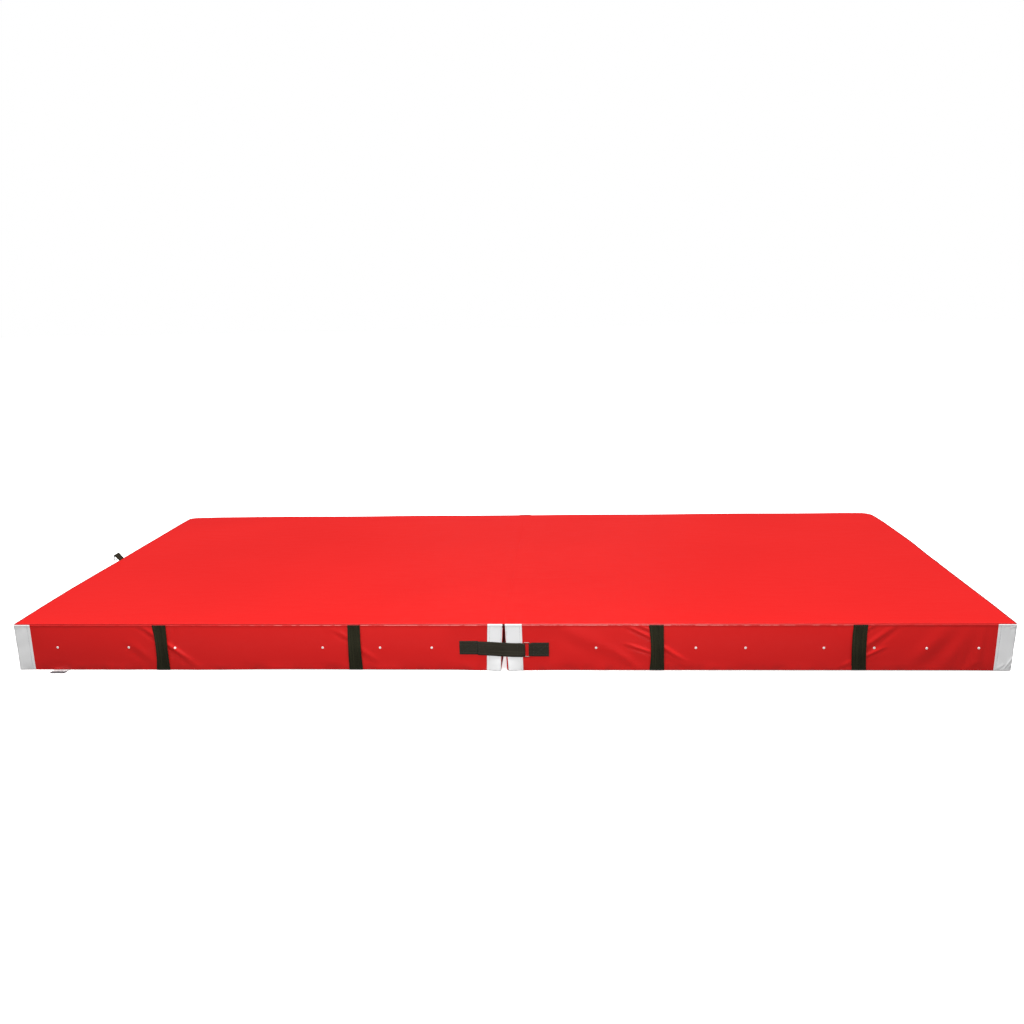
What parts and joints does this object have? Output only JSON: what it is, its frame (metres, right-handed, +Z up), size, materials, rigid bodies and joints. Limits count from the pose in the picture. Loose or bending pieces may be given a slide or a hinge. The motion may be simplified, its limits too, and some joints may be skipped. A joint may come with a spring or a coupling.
{
  "type": "folding landing mat",
  "caption": "Folding foam landing mat: two square blocks joined by a top hinge, with webbing handles, vent eyelets and a hook-and-loop coupling strap across the fold.",
  "frame": {"origin": "centre of the footprint, on the floor", "axes": "+X along the length, from the left half to the right half; +Y towards the back wall; +Z up"},
  "size_m": [4.0421, 2.056, 0.2282],
  "materials": {
    "red_vinyl": "satin",
    "white_vinyl": "satin",
    "antislip_base": "matte",
    "foam": "matte",
    "black_webbing": "matte",
    "brown_webbing": "matte",
    "ring_steel": "polished",
    "eyelet_metal": "polished",
    "zip_tape": "matte",
    "zip_teeth": "satin",
    "zip_metal": "satin",
    "label_cloth": "matte"
  },
  "bodies": {
    "left_half": {"left_foam_core": "foam", "left_top_panel": "red_vinyl", "left_end_wall": "red_vinyl", "left_fold_wall": "red_vinyl", "left_front_wall": "red_vinyl", "left_back_wall": "red_vinyl", "left_bottom_panel": "antislip_base", "left_front_outer_corner": "white_vinyl", "left_front_inner_corner": "white_vinyl", "left_front_eyelets": "eyelet_metal", "left_front_inner_handle": "black_webbing", "left_front_outer_handle": "black_webbing", "left_back_outer_corner": "white_vinyl", "left_back_inner_corner": "white_vinyl", "left_back_eyelets": "eyelet_metal", "left_back_inner_handle": "black_webbing", "left_back_outer_handle": "black_webbing", "left_zip_tape": "zip_tape", "left_zip_teeth": "zip_teeth", "front_strap_anchor": "black_webbing", "back_strap_anchor": "black_webbing", "fold_strip": "red_vinyl", "front_hinge_tab": "brown_webbing", "back_hinge_tab": "brown_webbing", "end_ring_tab": "black_webbing", "care_label": "label_cloth"},
    "right_half": {"right_foam_core": "foam", "right_top_panel": "red_vinyl", "right_end_wall": "red_vinyl", "right_fold_wall": "red_vinyl", "right_front_wall": "red_vinyl", "right_back_wall": "red_vinyl", "right_bottom_panel": "antislip_base", "right_front_outer_corner": "white_vinyl", "right_front_inner_corner": "white_vinyl", "right_front_eyelets": "eyelet_metal", "right_front_inner_handle": "black_webbing", "right_front_outer_handle": "black_webbing", "right_back_outer_corner": "white_vinyl", "right_back_inner_corner": "white_vinyl", "right_back_eyelets": "eyelet_metal", "right_back_inner_handle": "black_webbing", "right_back_outer_handle": "black_webbing", "right_zip_tape": "zip_tape", "right_zip_teeth": "zip_teeth", "front_ring_tab": "black_webbing", "back_ring_tab": "black_webbing"},
    "left_zip_slider": {"left_zip_slider": "zip_metal"},
    "left_zip_pull": {"left_zip_pull": "zip_metal"},
    "right_zip_slider": {"right_zip_slider": "zip_metal"},
    "right_zip_pull": {"right_zip_pull": "zip_metal"},
    "front_strap": {"front_strap": "black_webbing", "front_strap_loop": "black_webbing"},
    "front_ring": {"front_ring": "ring_steel"},
    "back_strap": {"back_strap": "black_webbing", "back_strap_loop": "black_webbing"},
    "back_ring": {"back_ring": "ring_steel"},
    "end_ring": {"end_ring": "ring_steel"},
    "link_strap": {"link_strap": "black_webbing"}
  },
  "joints": [
    {"name": "fold_hinge", "type": "hinge", "parent": "left_half", "child": "right_half", "pos_m": [0, 0, 0.201], "axis": [0, -1, 0], "range_deg": [0, 179.95], "deforming": ["fold_strip", "front_hinge_tab", "back_hinge_tab"]},
    {"name": "front_strap_swing", "type": "hinge", "parent": "left_half", "child": "front_strap", "pos_m": [-0.104, -1.0048, 0.0965], "axis": [0, 0, -1], "range_deg": [0, 165], "deforming": ["front_strap_loop"]},
    {"name": "front_ring_swing", "type": "hinge", "parent": "right_half", "child": "front_ring", "pos_m": [0.105, -1.0044, 0.092], "axis": [0, 0, 1], "range_deg": [0, 150]},
    {"name": "back_strap_swing", "type": "hinge", "parent": "left_half", "child": "back_strap", "pos_m": [-0.104, 1.0048, 0.0965], "axis": [0, 0, 1], "range_deg": [0, 165], "deforming": ["back_strap_loop"]},
    {"name": "back_ring_swing", "type": "hinge", "parent": "right_half", "child": "back_ring", "pos_m": [0.105, 1.0044, 0.092], "axis": [0, 0, -1], "range_deg": [0, 150]},
    {"name": "end_ring_swing", "type": "hinge", "parent": "left_half", "child": "end_ring", "pos_m": [-2.03, 0.03, 0.224], "axis": [0, 1, 0], "range_deg": [-30, 150]},
    {"name": "link_strap_swing", "type": "hinge", "parent": "right_half", "child": "link_strap", "pos_m": [2.0036, -0.07, 0.1952], "axis": [0, -1, 0], "range_deg": [0, 165]},
    {"name": "left_zip_slide", "type": "slide", "parent": "left_half", "child": "left_zip_slider", "axis": [0, 1, 0], "range_m": [0, 1.73]},
    {"name": "left_zip_pull_swing", "type": "hinge", "parent": "left_zip_slider", "child": "left_zip_pull", "pos_m": [-2.0056, -0.865, 0.043], "axis": [0, 0, -1], "range_deg": [0, 170]},
    {"name": "right_zip_slide", "type": "slide", "parent": "right_half", "child": "right_zip_slider", "axis": [0, 1, 0], "range_m": [0, 1.73]},
    {"name": "right_zip_pull_swing", "type": "hinge", "parent": "right_zip_slider", "child": "right_zip_pull", "pos_m": [2.0056, -0.865, 0.043], "axis": [0, 0, 1], "range_deg": [0, 170]}
  ]
}
